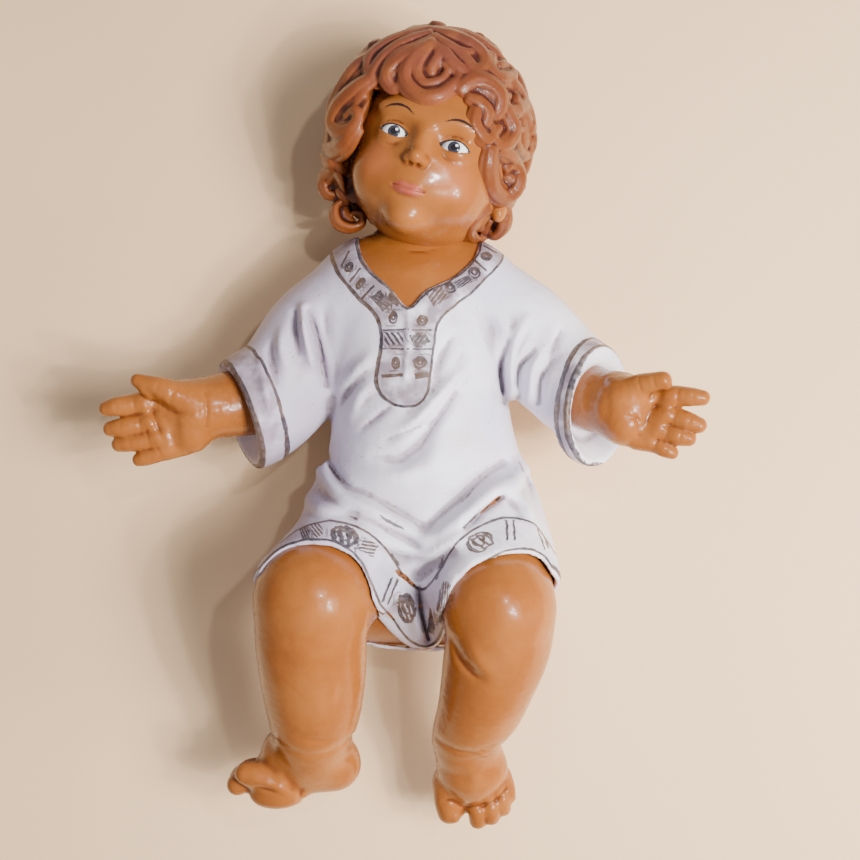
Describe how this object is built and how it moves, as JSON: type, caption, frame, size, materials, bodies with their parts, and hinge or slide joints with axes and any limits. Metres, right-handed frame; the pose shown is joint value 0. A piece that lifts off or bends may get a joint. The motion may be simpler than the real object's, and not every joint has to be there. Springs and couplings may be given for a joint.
{
  "type": "child statue",
  "caption": "Painted moulded figure of a small curly-haired child in a short-sleeved tunic, lying on its back with arms held out and knees drawn up.",
  "frame": {"origin": "on the flat of the back, where the figure lies on the floor", "axes": "+Y from the feet to the crown of the head, +Z out of the chest, +X to the figure's own left hand"},
  "size_m": [0.289, 0.4004, 0.1212],
  "materials": {
    "painted_skin": "hand-painted moulding"
  },
  "bodies": {
    "root": {"child_figure": "painted_skin"}
  },
  "joints": []
}
